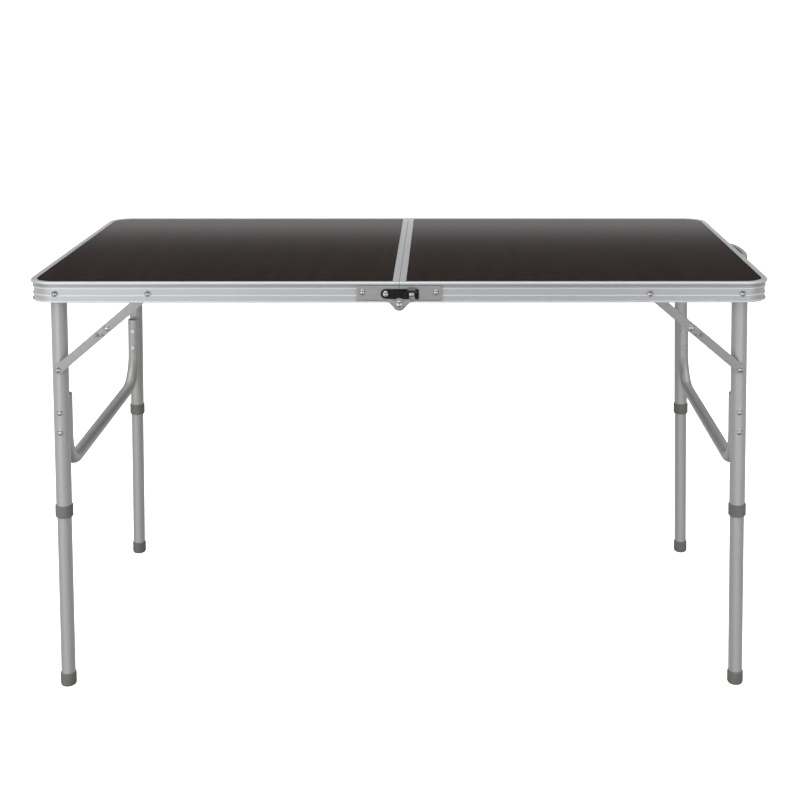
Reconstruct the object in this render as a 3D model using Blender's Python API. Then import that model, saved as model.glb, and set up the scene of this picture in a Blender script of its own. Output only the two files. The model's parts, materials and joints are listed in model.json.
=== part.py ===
"""A folding picnic table: a two-half suitcase top, two folding leg frames and four telescopic lower legs.

Units are metres and +Z is up. The origin is on the floor, below the middle of the table's overall box.
X runs along the table from the left half to the right half, and Y runs from the front rail to the rear rail.
In the functions below a side is -1 for the left half and 1 for the right half, and a row is -1 for the
front legs and 1 for the rear legs.
"""

import math

import bmesh
import bpy
from mathutils import Vector

# Overall sizes
TABLE_LENGTH = 1.200
TABLE_WIDTH = 0.600
TABLE_HEIGHT = 0.715
GAP = 0.0003  # clearance between pieces that touch

# Rim extrusion: insets are measured inwards from the outermost edge, heights from the rail's bottom
RAIL_HEIGHT = 0.034
CORNER_RADIUS = 0.043
LIP_WIDTH = 0.010
LIP_THICKNESS = 0.0012
LIP_SHOULDER = 0.0014
LIP_ROUND = 0.0006  # the rounding of a lip's edges, along it and downwards
LIP_ROUND_DROP = 0.0005
WEB_INSET = 0.0038
WEB_THICKNESS = 0.0015
RIB_DEPTH = 0.0012
RIB_CHAMFER = 0.0009
RIBS = ((0.0098, 0.0131), (0.0213, 0.0249))
BOTTOM_BEAD_TOP = 0.0038
TOP_BEAD_BOTTOM = 0.0293
BOTTOM_BEAD = ((0.0026, 0.0), (0.0017, 0.0006), (0.0014, 0.0019), (0.0017, 0.0032))
TOP_BEAD = ((0.0006, 0.0297), (0.0, 0.0308), (0.0001, 0.0324), (0.0007, 0.0335))
LEDGE_BOTTOM = 0.0282
LEDGE_TOP = 0.0292
LEDGE_REACH = 0.0090
WEB_INNER = WEB_INSET + WEB_THICKNESS

# Centre rails, which close each half along the middle of the table
CENTRE_RAIL_WIDTH = 0.0108
CENTRE_FLANGE = 0.008

# Panels: a thin board whose edge sits under the lip and whose face fills the frame
PANEL_BOTTOM = LEDGE_TOP + GAP
PANEL_TONGUE_TOP = RAIL_HEIGHT - LIP_THICKNESS - GAP
PANEL_TOP = RAIL_HEIGHT - LIP_ROUND_DROP

# Centre hinge and hook, seen from outside: distances from the table's middle and heights above the rail bottom
HINGE_DROP = 0.001
PLATE_LENGTH = 0.068
PLATE_BOTTOM = BOTTOM_BEAD_TOP + GAP
PLATE_TOP = TOP_BEAD_BOTTOM - GAP
SHEET = 0.0015
PLATE_OFFSET = RIB_DEPTH + GAP
HOOK_CLEARANCE = 0.0011  # lets the hook swing across the rim's top bead
HOOK_OFFSET = PLATE_OFFSET + SHEET + HOOK_CLEARANCE
OUTER_EAR_OFFSET = HOOK_OFFSET + SHEET + GAP
EAR_RADIUS = 0.0110
EAR_TOP = 0.0070
EAR_ROOT_NEAR = 0.0115
EAR_ROOT_FAR = 0.0195
HINGE_PIN_RADIUS = 0.003
HOOK_HEIGHT = 0.0155
HOOK_AXIS_HEIGHT = 0.0153
HOOK_PIVOT_X = 0.022
HOOK_STUD_X = 0.020
HOOK_TIP_X = 0.0315
HOOK_TONGUE_X = 0.0252
HOOK_TONGUE_BOTTOM = 0.0062
HOOK_NOTCH_X = 0.0150
STUD_RADIUS = 0.0022

# Leg frames: distances along a leg are measured down from the leg pivot
LEG_SPLAY = math.radians(1.85)
PIVOT_X = 0.5527
PIVOT_HEIGHT = 0.01465  # above the rail's bottom
UPPER_TUBE_RADIUS = 0.0130
UPPER_TUBE_BORE = 0.0122
UPPER_TUBE_TOP = -0.006
UPPER_TUBE_END = 0.3840
LOWER_TUBE_RADIUS = UPPER_TUBE_BORE - GAP
LOWER_TUBE_BORE = LOWER_TUBE_RADIUS - 0.0008
LOWER_TUBE_TOP = 0.350
COLLAR_RADIUS = 0.0147
COLLAR_TOP = 0.3670
COLLAR_END = 0.3880
FOOT_RADIUS = 0.0135
FOOT_HEIGHT = 0.024
FOOT_FLOOR = 0.003
FOOT_CHAMFER = 0.0016
CROSSBAR_RADIUS = 0.011
CROSSBAR_BORE = 0.010
CROSSBAR_TOP = 0.181
CROSSBAR_AXIS = 0.311
CROSSBAR_BEND = 0.060

# Folding stays: flat links that lie beside each leg, in layers inside the rim's web
STAY_RAIL_X = 0.4038
STAY_LEG_DROP = 0.129
LINK_WIDTH = 0.015
LINK_TAIL = 0.018  # how far the upper link runs past its end hole
UPPER_LINK_INSET = 0.0077
RIVET_TAIL = 0.0008
LOWER_LINK_INSET = UPPER_LINK_INSET + SHEET + GAP + RIVET_TAIL + GAP
RIVET_ROOM = 0.0022  # for the cross-tube rivets' heads, which a folded stay passes over
LEG_INSET = LOWER_LINK_INSET + SHEET + GAP + RIVET_ROOM + UPPER_TUBE_RADIUS
PIN_RADIUS = 0.0025
PIN_HOLE = PIN_RADIUS + GAP
RIVET_HEAD = 0.005

# Carry handle on the right-hand end rail
HANDLE_HALF_LENGTH = 0.074
HANDLE_REACH = 0.022
HANDLE_BAR = 0.008
HANDLE_FOOT = 0.017
HANDLE_BOTTOM = 0.008
HANDLE_TOP = 0.027

# Facets
TUBE_SIDES = 16
PIN_SIDES = 10
BAR_SIDES = 12
CORNER_STEPS = 8
EAR_STEPS = 15
BEND_STEPS = 8

# Derived places
HALF_LENGTH = TABLE_LENGTH / 2
HALF_WIDTH = TABLE_WIDTH / 2
RAIL_BOTTOM = TABLE_HEIGHT - RAIL_HEIGHT
HINGE_HEIGHT = RAIL_BOTTOM - HINGE_DROP
LEG_LENGTH = (RAIL_BOTTOM + PIVOT_HEIGHT) / math.cos(LEG_SPLAY)
LEG_Y = HALF_WIDTH - LEG_INSET
HANDLE_BASE = HALF_LENGTH - WEB_INSET + PLATE_OFFSET
MIDDLE_X = -(HANDLE_BASE + HANDLE_REACH - HALF_LENGTH) / 2
STAY_LEG_X = PIVOT_X - STAY_RAIL_X + STAY_LEG_DROP * math.sin(LEG_SPLAY)
STAY_LEG_Z = STAY_LEG_DROP * math.cos(LEG_SPLAY)
STAY_SPAN = math.hypot(STAY_LEG_X, STAY_LEG_Z)
STAY_SLOPE = math.atan2(STAY_LEG_Z, STAY_LEG_X)
# A stay folds flat when its links differ by as much as its two end pivots then lie apart.
STAY_FOLDED_SPAN = PIVOT_X - STAY_RAIL_X - STAY_LEG_DROP
UPPER_LINK_LENGTH = (STAY_SPAN - STAY_FOLDED_SPAN) / 2
LOWER_LINK_LENGTH = (STAY_SPAN + STAY_FOLDED_SPAN) / 2

SIDE_NAMES = {-1: "left", 1: "right"}
ROW_NAMES = {-1: "front", 1: "rear"}


def clear_scene():
    for obj in list(bpy.data.objects):
        bpy.data.objects.remove(obj)


def make_material(name, colour, roughness, metallic):
    material = bpy.data.materials.new(name)
    material.use_nodes = True
    shader = material.node_tree.nodes["Principled BSDF"]
    shader.inputs["Base Color"].default_value = (*colour, 1.0)
    shader.inputs["Roughness"].default_value = roughness
    shader.inputs["Metallic"].default_value = metallic
    return material


def make_materials():
    return {
        "rim": make_material("satin_aluminium", (0.72, 0.73, 0.73), 0.32, 1.0),
        "tube": make_material("painted_aluminium", (0.45, 0.46, 0.45), 0.40, 0.8),
        "sheet": make_material("pressed_steel", (0.55, 0.56, 0.56), 0.38, 1.0),
        "rivet": make_material("bright_steel", (0.80, 0.80, 0.82), 0.15, 1.0),
        "hook": make_material("black_steel", (0.02, 0.02, 0.02), 0.35, 0.2),
        "board": make_material("dark_wood_board", (0.030, 0.020, 0.018), 0.35, 0.0),
        "plastic": make_material("grey_plastic", (0.17, 0.175, 0.16), 0.55, 0.0),
        "handle": make_material("light_grey_plastic", (0.30, 0.32, 0.31), 0.50, 0.0),
    }


def add_empty(name, parent, location=(0, 0, 0), rotation=(0, 0, 0)):
    empty = bpy.data.objects.new(name, None)
    bpy.context.scene.collection.objects.link(empty)
    empty.parent = parent
    empty.location = location
    empty.rotation_euler = rotation
    return empty


def add_piece(name, mesh, parent, material, location=(0, 0, 0), rotation=(0, 0, 0)):
    """One sub-part; a piece that repeats passes the same mesh again."""
    piece = bpy.data.objects.new(name, mesh)
    bpy.context.scene.collection.objects.link(piece)
    if not mesh.materials:
        mesh.materials.append(material)
    piece.parent = parent
    piece.location = location
    piece.rotation_euler = rotation
    return piece


def as_helper(piece):
    piece.hide_render = True
    piece.display_type = "WIRE"
    return piece


def combine(piece, other, operation):
    modifier = piece.modifiers.new(other.name, "BOOLEAN")
    modifier.operation = operation
    modifier.object = other


def finish_mesh(name, shape):
    bmesh.ops.recalc_face_normals(shape, faces=shape.faces)
    mesh = bpy.data.meshes.new(name)
    shape.to_mesh(mesh)
    shape.free()
    mesh.shade_smooth()
    mesh.set_sharp_from_angle(angle=math.radians(35))
    return mesh


def arc(centre, radius, start, end, steps):
    """Points on a circle, with angles in degrees."""
    angles = [math.radians(start + (end - start) * i / steps) for i in range(steps + 1)]
    return [(centre[0] + radius * math.cos(a), centre[1] + radius * math.sin(a)) for a in angles]


def bridge_rings(shape, rings, closed):
    """Quads from each ring of vertices to the next, and from the last back to the first if closed."""
    pairs = list(zip(rings, rings[1:]))
    if closed:
        pairs.append((rings[-1], rings[0]))
    for first, second in pairs:
        for i in range(len(first)):
            j = (i + 1) % len(first)
            shape.faces.new((first[i], first[j], second[j], second[i]))


def turned_mesh(name, profile, sides, closed=False):
    """A solid turned about Z from (radius, height) points. An open profile starts and ends on the axis."""
    shape = bmesh.new()
    rings = []
    for radius, height in profile if closed else profile[1:-1]:
        ring = []
        for i in range(sides):
            turn = math.tau * (i + 0.5) / sides
            ring.append(shape.verts.new((radius * math.cos(turn), radius * math.sin(turn), height)))
        rings.append(ring)
    bridge_rings(shape, rings, closed)
    if not closed:
        shape.faces.new(rings[0])
        shape.faces.new(rings[-1])
    return finish_mesh(name, shape)


def plate_mesh(name, outline, holes, thickness, side=1):
    """A flat sheet in the XZ plane with round holes, reaching from Y = 0 towards the front."""
    shape = bmesh.new()
    edges = []
    rims = [outline] + [arc((x, z), radius, 0, 360, PIN_SIDES)[:-1] for x, z, radius in holes]
    for rim in rims:
        points = [shape.verts.new((side * x, 0, z)) for x, z in rim]
        for i in range(len(points)):
            edges.append(shape.edges.new((points[i - 1], points[i])))
    bmesh.ops.triangle_fill(shape, use_beauty=True, edges=edges)
    grown = bmesh.ops.extrude_face_region(shape, geom=shape.faces[:])
    moved = [item for item in grown["geom"] if isinstance(item, bmesh.types.BMVert)]
    bmesh.ops.translate(shape, verts=moved, vec=(0, -thickness, 0))
    return finish_mesh(name, shape)


def box_mesh(name, low, high):
    shape = bmesh.new()
    bmesh.ops.create_cube(shape, size=1)
    for vertex in shape.verts:
        vertex.co = [low[i] + (high[i] - low[i]) * (vertex.co[i] + 0.5) for i in range(3)]
    return finish_mesh(name, shape)


def rim_section():
    """The rim's cross-section as (inset, height) points, from the bottom of the web round to the inside."""
    points = [*BOTTOM_BEAD]
    points.append((WEB_INSET, BOTTOM_BEAD_TOP))
    for low, high in RIBS:
        points.append((WEB_INSET, low))
        points.append((WEB_INSET - RIB_DEPTH, low + RIB_CHAMFER))
        points.append((WEB_INSET - RIB_DEPTH, high - RIB_CHAMFER))
        points.append((WEB_INSET, high))
    points += [(WEB_INSET, TOP_BEAD_BOTTOM), *TOP_BEAD]
    points += [(LIP_SHOULDER, RAIL_HEIGHT), (LIP_WIDTH - LIP_ROUND, RAIL_HEIGHT)]
    points += [(LIP_WIDTH, RAIL_HEIGHT - LIP_ROUND_DROP), (LIP_WIDTH, RAIL_HEIGHT - LIP_THICKNESS)]
    points += [(WEB_INNER, RAIL_HEIGHT - LIP_THICKNESS), (WEB_INNER, LEDGE_TOP)]
    points += [(LEDGE_REACH, LEDGE_TOP), (LEDGE_REACH, LEDGE_BOTTOM)]
    points += [(WEB_INNER, LEDGE_BOTTOM), (WEB_INNER, 0.0)]
    return points


def rim_path(inset):
    """The plan of the U that a rim bends into on the right half, at one inset from its outer edge."""
    near = HALF_LENGTH - CORNER_RADIUS
    deep = HALF_WIDTH - CORNER_RADIUS
    radius = CORNER_RADIUS - inset
    path = [(GAP, inset - HALF_WIDTH)]
    path += arc((near, -deep), radius, -90, 0, CORNER_STEPS)
    path += arc((near, deep), radius, 0, 90, CORNER_STEPS)
    path.append((GAP, HALF_WIDTH - inset))
    return path


def rim_mesh(side):
    shape = bmesh.new()
    section = rim_section()
    paths = [rim_path(inset) for inset, height in section]
    rings = []
    for station in range(len(paths[0])):
        ring = []
        for path, (inset, height) in zip(paths, section):
            x, y = path[station]
            ring.append(shape.verts.new((side * x, y, height)))
        rings.append(ring)
    bridge_rings(shape, rings, closed=False)
    shape.faces.new(rings[0])
    shape.faces.new(rings[-1])
    return finish_mesh("rim", shape)


def centre_rail_mesh(side):
    """A straight rail along Y, whose plain web meets the other half's at the middle of the table."""
    web = GAP + WEB_THICKNESS
    lip_under = RAIL_HEIGHT - LIP_THICKNESS
    shoulder = RAIL_HEIGHT - LIP_ROUND_DROP
    section = [(GAP, 0), (GAP, shoulder), (GAP + LIP_ROUND, RAIL_HEIGHT)]
    section += [(CENTRE_RAIL_WIDTH - LIP_ROUND, RAIL_HEIGHT), (CENTRE_RAIL_WIDTH, shoulder)]
    section += [(CENTRE_RAIL_WIDTH, lip_under), (web, lip_under), (web, LEDGE_TOP), (LEDGE_REACH, LEDGE_TOP)]
    section += [(LEDGE_REACH, LEDGE_BOTTOM), (web, LEDGE_BOTTOM), (web, WEB_THICKNESS)]
    section += [(CENTRE_FLANGE, WEB_THICKNESS), (CENTRE_FLANGE, 0)]
    reach = HALF_WIDTH - LIP_WIDTH - GAP
    shape = bmesh.new()
    rings = []
    for y in (-reach, reach):
        rings.append([shape.verts.new((side * x, y, z)) for x, z in section])
    bridge_rings(shape, rings, closed=False)
    for ring in rings:
        shape.faces.new(ring)
    return finish_mesh("centre_rail", shape)


def panel_outline(edge, centre_edge):
    """The plan of a panel on the right half, at one inset from the rim and one distance from the middle."""
    near = HALF_LENGTH - CORNER_RADIUS
    deep = HALF_WIDTH - CORNER_RADIUS
    radius = CORNER_RADIUS - edge
    outline = [(centre_edge, edge - HALF_WIDTH)]
    outline += arc((near, -deep), radius, -90, 0, CORNER_STEPS)
    outline += arc((near, deep), radius, 0, 90, CORNER_STEPS)
    outline.append((centre_edge, HALF_WIDTH - edge))
    return outline


def panel_mesh(side):
    """A stepped board: its tongue runs under the lips, and its face stands up inside them."""
    tongue = panel_outline(WEB_INNER + GAP, GAP + WEB_THICKNESS + GAP)
    face = panel_outline(LIP_WIDTH + GAP, CENTRE_RAIL_WIDTH + GAP)
    levels = [(tongue, PANEL_BOTTOM), (tongue, PANEL_TONGUE_TOP), (face, PANEL_TONGUE_TOP), (face, PANEL_TOP)]
    shape = bmesh.new()
    rings = [[shape.verts.new((side * x, y, z)) for x, y in plan] for plan, z in levels]
    bridge_rings(shape, rings, closed=False)
    shape.faces.new(rings[0])
    shape.faces.new(rings[-1])
    return finish_mesh("panel", shape)


def add_half_top(side, half, materials):
    """The rim, centre rail and panel of one half, with the holes that its pins pass through."""
    name = SIDE_NAMES[side]
    at_rail = (0, 0, HINGE_DROP)
    rim = add_piece(f"{name}_rim", rim_mesh(side), half, materials["rim"], at_rail)
    for label, x, z, radius in (
        ("leg_pivot", PIVOT_X, PIVOT_HEIGHT, PIN_HOLE + 0.0005),
        ("stay_pivot", STAY_RAIL_X, PIVOT_HEIGHT, PIN_HOLE),
        ("hook_pivot", HOOK_PIVOT_X, HOOK_AXIS_HEIGHT, STUD_RADIUS + GAP),
        ("hook_stud", HOOK_STUD_X, HOOK_AXIS_HEIGHT, STUD_RADIUS + GAP),
    ):
        # On each half the hook pivot is on one rail and the stud on the other.
        reach = {"hook_pivot": (side, 0), "hook_stud": (0, -side)}.get(label, (-1, 1))
        cutter = add_bore(f"{name}_{label}_bore", half, (side * x, 0, z + HINGE_DROP), radius, reach)
        combine(rim, cutter, "DIFFERENCE")
    add_piece(f"{name}_centre_rail", centre_rail_mesh(side), half, materials["rim"], at_rail)
    add_piece(f"{name}_panel", panel_mesh(side), half, materials["board"], at_rail)


def add_bore(name, parent, location, radius, reach=(-1, 1)):
    """A cutter along Y, from one reach to the other in units of the table's half width."""
    low, high = sorted(value * (HALF_WIDTH + 0.01) for value in reach)
    mesh = turned_mesh(name, [(0, low), (radius, low), (radius, high), (0, high)], PIN_SIDES)
    return as_helper(add_piece(name, mesh, parent, None, location, (-math.pi / 2, 0, 0)))


def ear_outline():
    """A hinge ear on the right-hand side: a disc about the hinge axis, running up to its root on the plate."""
    top = math.degrees(math.asin((EAR_TOP + HINGE_DROP) / EAR_RADIUS))
    disc = arc((0, -HINGE_DROP), EAR_RADIUS, 180 - top, 315, EAR_STEPS)
    return [(EAR_ROOT_FAR, EAR_TOP), *disc, (EAR_ROOT_FAR, PLATE_BOTTOM)]


def add_hinge_plate(name, side, hinge, ear_offset, pin_x, materials):
    """A plate on the rail with an ear that is set out past its neighbour's, round the hinge pin."""
    outline = [(GAP, PLATE_BOTTOM), (PLATE_LENGTH, PLATE_BOTTOM), (PLATE_LENGTH, PLATE_TOP), (GAP, PLATE_TOP)]
    holes = [(pin_x, HOOK_AXIS_HEIGHT, STUD_RADIUS + GAP)]
    web_y = WEB_INSET - HALF_WIDTH
    plate_y = web_y - PLATE_OFFSET
    sheet = plate_mesh(name, outline, holes, SHEET, side)
    plate = add_piece(name, sheet, hinge, materials["sheet"], (0, plate_y, HINGE_DROP))
    ear_mesh = plate_mesh(f"{name}_ear", ear_outline(), [(0, -HINGE_DROP, HINGE_PIN_RADIUS + GAP)], SHEET, side)
    ear_place = (0, web_y - ear_offset, HINGE_DROP)
    ear = as_helper(add_piece(f"{name}_ear", ear_mesh, hinge, None, ear_place))
    inner, outer = sorted((side * EAR_ROOT_NEAR, side * EAR_ROOT_FAR))
    root_low = (inner, web_y - ear_offset - SHEET, PLATE_BOTTOM)
    root_high = (outer, plate_y, EAR_TOP)
    root_mesh = box_mesh(f"{name}_root", root_low, root_high)
    root = as_helper(add_piece(f"{name}_root", root_mesh, hinge, None, (0, 0, HINGE_DROP)))
    combine(plate, root, "UNION")
    combine(plate, ear, "UNION")


def dome_head(base, radius, height, steps=2):
    """The rounded head of a rivet as (radius, height) points from its rim to its crown."""
    points = [(radius, base)]
    for i in range(1, steps + 1):
        turn = math.pi / 2 * i / (steps + 0.5)
        points.append((radius * math.cos(turn), base + height * math.sin(turn)))
    return points + [(0, base + height)]


def hook_outline():
    """The hook's bar: a round end on its pivot and a notch, open below, that drops over the stud."""
    low = HOOK_AXIS_HEIGHT - HOOK_HEIGHT / 2
    high = HOOK_AXIS_HEIGHT + HOOK_HEIGHT / 2
    stud = (HOOK_STUD_X, HOOK_AXIS_HEIGHT)
    outline = arc((-HOOK_PIVOT_X, HOOK_AXIS_HEIGHT), HOOK_HEIGHT / 2, 90, 270, 8)
    outline += [(HOOK_NOTCH_X, low), (HOOK_NOTCH_X + 0.0012, low + 0.003)]
    outline += arc(stud, 0.0036, 180, 40, 4)
    outline += [(HOOK_TONGUE_X - 0.0006, HOOK_AXIS_HEIGHT - 0.002), (HOOK_TONGUE_X, HOOK_TONGUE_BOTTOM + 0.001)]
    outline += [(HOOK_TONGUE_X + 0.0012, HOOK_TONGUE_BOTTOM), (HOOK_TIP_X - 0.0015, HOOK_TONGUE_BOTTOM)]
    outline += arc((HOOK_TIP_X - 0.002, HOOK_TONGUE_BOTTOM + 0.0022), 0.002, -45, 0, 2)
    outline += arc((HOOK_TIP_X - 0.003, high - 0.003), 0.003, 0, 90, 3)
    return outline


def add_hook(name, parent, turn, materials):
    """The closing hook, its parent empty on its pivot."""
    web_y = WEB_INSET - HALF_WIDTH
    location = (-HOOK_PIVOT_X, 0, HOOK_AXIS_HEIGHT + HINGE_DROP)
    if turn:
        location = (HOOK_PIVOT_X, 0, HOOK_AXIS_HEIGHT + HINGE_DROP)
    joint = add_empty(f"{name}_joint", parent, location, (0, 0, turn))
    hole = [(-HOOK_PIVOT_X, HOOK_AXIS_HEIGHT, STUD_RADIUS + GAP)]
    bar = plate_mesh(name, hook_outline(), hole, SHEET)
    shift = (HOOK_PIVOT_X, web_y - HOOK_OFFSET, -HOOK_AXIS_HEIGHT)
    hook = add_piece(name, bar, joint, materials["hook"], shift)
    tab_top = HOOK_AXIS_HEIGHT + HOOK_HEIGHT / 2 - 0.0001
    tab_low = (HOOK_STUD_X - 0.0075, web_y - HOOK_OFFSET - SHEET - 0.0045, tab_top - SHEET)
    tab_high = (HOOK_STUD_X + 0.0055, web_y - HOOK_OFFSET - SHEET / 2, tab_top)
    tab_place = (HOOK_PIVOT_X, 0, -HOOK_AXIS_HEIGHT)
    tab_mesh = box_mesh(f"{name}_tab", tab_low, tab_high)
    tab = as_helper(add_piece(f"{name}_tab", tab_mesh, joint, None, tab_place))
    combine(hook, tab, "UNION")


def add_side_hinge(row, left, right, materials):
    """The hinge and hook of one long side. The rear set is the front one turned half round."""
    name = ROW_NAMES[row]
    turn = 0 if row < 0 else math.pi
    inner_half, outer_half = (left, right) if row < 0 else (right, left)
    inner_name, outer_name = ("left", "right") if row < 0 else ("right", "left")
    inner = add_empty(f"{name}_inner_leaf", inner_half, rotation=(0, 0, turn))
    outer = add_empty(f"{name}_outer_leaf", outer_half, rotation=(0, 0, turn))
    add_hinge_plate(f"{name}_{inner_name}_hinge_plate", -1, inner, HOOK_OFFSET, HOOK_PIVOT_X, materials)
    add_hinge_plate(f"{name}_{outer_name}_hinge_plate", 1, outer, OUTER_EAR_OFFSET, HOOK_STUD_X, materials)
    add_hook(f"{name}_hook", inner_half, turn, materials)

    # Turned pins point out of the table: height 0 of a profile is the rail's web.
    outward = (math.pi / 2, 0, 0)
    web_y = WEB_INSET - HALF_WIDTH
    head_base = OUTER_EAR_OFFSET
    tail = -WEB_THICKNESS - GAP
    profile = [(0, tail - 0.0008), (0.004, tail - 0.0008), (0.004, tail), (STUD_RADIUS, tail)]
    profile += [(STUD_RADIUS, head_base), *dome_head(head_base, RIVET_HEAD, 0.0023)]
    pin_mesh = turned_mesh("hook_pin", profile, PIN_SIDES)
    pin_z = HOOK_AXIS_HEIGHT + HINGE_DROP
    add_piece(f"{name}_hook_pivot", pin_mesh, inner, materials["rivet"], (-HOOK_PIVOT_X, web_y, pin_z), outward)
    add_piece(f"{name}_hook_stud", pin_mesh, outer, materials["rivet"], (HOOK_STUD_X, web_y, pin_z), outward)

    head_base = OUTER_EAR_OFFSET + SHEET + GAP
    tail = HOOK_OFFSET - GAP
    profile = [(0, tail - 0.0006), (0.0044, tail - 0.0006), (0.0044, tail), (HINGE_PIN_RADIUS, tail)]
    profile += [(HINGE_PIN_RADIUS, head_base), *dome_head(head_base, 0.006, 0.0024)]
    pin_mesh = turned_mesh("hinge_pin", profile, PIN_SIDES)
    add_piece(f"{name}_hinge_pin", pin_mesh, inner, materials["rivet"], (0, web_y, 0), outward)


def swept_tube_mesh(name, path, radius, bore, sides):
    """A bent tube with open ends, along a path in the YZ plane."""
    shape = bmesh.new()
    outer_rings, inner_rings = [], []
    for i, (y, z) in enumerate(path):
        before = path[max(i - 1, 0)]
        after = path[min(i + 1, len(path) - 1)]
        along = Vector((0, after[0] - before[0], after[1] - before[1])).normalized()
        across = Vector((0, -along.z, along.y))
        for rings, size in ((outer_rings, radius), (inner_rings, bore)):
            ring = []
            for j in range(sides):
                turn = math.tau * (j + 0.5) / sides
                offset = across * math.cos(turn) * size
                ring.append(shape.verts.new((math.sin(turn) * size, y + offset.y, z + offset.z)))
            rings.append(ring)
    bridge_rings(shape, outer_rings + inner_rings[::-1], closed=True)
    return finish_mesh(name, shape)


def crossbar_path():
    """Down beside the front leg, round a bend, across to the rear leg, and up again."""
    reach = LEG_Y - UPPER_TUBE_RADIUS - GAP - CROSSBAR_RADIUS
    bend_y = reach - CROSSBAR_BEND
    bend_z = -CROSSBAR_AXIS + CROSSBAR_BEND
    path = [(-reach, -CROSSBAR_TOP)]
    path += arc((-bend_y, bend_z), CROSSBAR_BEND, 180, 270, BEND_STEPS)
    path += arc((bend_y, bend_z), CROSSBAR_BEND, 270, 360, BEND_STEPS)
    path.append((reach, -CROSSBAR_TOP))
    return path


def tube_mesh(name, radius, bore, top, end):
    """A straight tube that hangs from a leg pivot, from one distance below it to another."""
    profile = [(radius, -top), (radius, -end), (bore, -end), (bore, -top)]
    return turned_mesh(name, profile, TUBE_SIDES, closed=True)


def collar_mesh():
    """A plastic ring that grips the upper tube's end and guides the lower tube."""
    step = UPPER_TUBE_END + GAP
    wide = UPPER_TUBE_RADIUS + GAP
    narrow = LOWER_TUBE_RADIUS + GAP
    profile = [(wide, -COLLAR_TOP), (COLLAR_RADIUS - 0.0006, -COLLAR_TOP), (COLLAR_RADIUS, -COLLAR_TOP - 0.001)]
    profile += [(COLLAR_RADIUS, -COLLAR_END + 0.001), (COLLAR_RADIUS - 0.0008, -COLLAR_END)]
    profile += [(narrow, -COLLAR_END), (narrow, -step), (wide, -step)]
    return turned_mesh("collar", profile, TUBE_SIDES, closed=True)


def foot_mesh(side):
    """A cap on the lower tube's end, whose sole is cut level with the floor."""
    sole = -LEG_LENGTH
    bore = LOWER_TUBE_RADIUS + GAP
    profile = [(0, sole), (FOOT_RADIUS - 0.0022, sole), (FOOT_RADIUS - 0.0005, sole + FOOT_CHAMFER)]
    profile += [(FOOT_RADIUS, sole + 0.004), (FOOT_RADIUS, sole + FOOT_HEIGHT - 0.002)]
    profile += [(FOOT_RADIUS - 0.0008, sole + FOOT_HEIGHT), (bore, sole + FOOT_HEIGHT)]
    profile += [(bore, sole + FOOT_FLOOR), (0, sole + FOOT_FLOOR)]
    mesh = turned_mesh("foot", profile, TUBE_SIDES)
    for vertex in mesh.vertices:
        if vertex.co.z < sole + FOOT_CHAMFER + GAP:
            vertex.co.z -= side * vertex.co.x * math.tan(LEG_SPLAY)
    return mesh


def link_mesh(name, length, tail):
    """A flat link hanging down from its first hole, running on past its second."""
    radius = LINK_WIDTH / 2
    outline = arc((0, 0), radius, 0, 180, 6) + arc((0, -length - tail), radius, 180, 360, 6)
    holes = [(0, 0, PIN_HOLE), (0, -length, PIN_HOLE)]
    return plate_mesh(name, outline, holes, SHEET)


def layer_place(row, inset):
    """The location and turn that put a link in its layer, with its thickness running outwards."""
    return (0, row * (HALF_WIDTH - inset - SHEET), 0), (0, 0, 0 if row < 0 else math.pi)


def add_leg_frame(side, half, materials):
    """Two upper tubes, a crossbar, collars and the lower legs, hung from an empty on the leg pivot."""
    name = SIDE_NAMES[side]
    pivot_z = PIVOT_HEIGHT + HINGE_DROP
    frame = add_empty(f"{name}_leg_frame", half, (side * PIVOT_X, 0, pivot_z), (0, -side * LEG_SPLAY, 0))
    upper = tube_mesh("upper_tube", UPPER_TUBE_RADIUS, UPPER_TUBE_BORE, UPPER_TUBE_TOP, UPPER_TUBE_END)
    lower_end = LEG_LENGTH - FOOT_FLOOR - GAP
    lower = tube_mesh("lower_tube", LOWER_TUBE_RADIUS, LOWER_TUBE_BORE, LOWER_TUBE_TOP, lower_end)
    collar = collar_mesh()
    foot = foot_mesh(side)
    pivot_bore = add_bore(f"{name}_frame_pivot_bore", frame, (0, 0, 0), PIN_HOLE + 0.0005)
    stay_bore = add_bore(f"{name}_frame_stay_bore", frame, (0, 0, -STAY_LEG_DROP), PIN_HOLE)
    for row in (-1, 1):
        leg = f"{name}_{ROW_NAMES[row]}"
        tube = add_piece(f"{leg}_upper_tube", upper, frame, materials["tube"], (0, row * LEG_Y, 0))
        combine(tube, pivot_bore, "DIFFERENCE")
        combine(tube, stay_bore, "DIFFERENCE")
        add_piece(f"{leg}_collar", collar, frame, materials["plastic"], (0, row * LEG_Y, 0))
        slide = add_empty(f"{leg}_lower_leg", frame, (0, row * LEG_Y, 0))
        add_piece(f"{leg}_lower_tube", lower, slide, materials["tube"])
        add_piece(f"{leg}_foot", foot, slide, materials["plastic"])
    bar = swept_tube_mesh("crossbar", crossbar_path(), CROSSBAR_RADIUS, CROSSBAR_BORE, BAR_SIDES)
    add_piece(f"{name}_crossbar", bar, frame, materials["tube"])
    return frame


def leg_pivot_profile():
    """Height 0 is the web's outer face: head, spacer inside the rim, shank through the leg, and tail."""
    spacer_top = -WEB_THICKNESS - GAP
    spacer_end = -(LEG_INSET - UPPER_TUBE_RADIUS - GAP - WEB_INSET)
    tail = -(LEG_INSET + UPPER_TUBE_RADIUS + GAP - WEB_INSET)
    shank = PIN_RADIUS + 0.0005
    profile = [(0, tail - 0.0015), (0.0048, tail - 0.0015), (0.0052, tail), (shank, tail)]
    profile += [(shank, spacer_end), (0.006, spacer_end), (0.006, spacer_top), (shank, spacer_top)]
    profile += [(shank, PLATE_OFFSET), *dome_head(PLATE_OFFSET, RIVET_HEAD, 0.0024)]
    return profile


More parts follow.
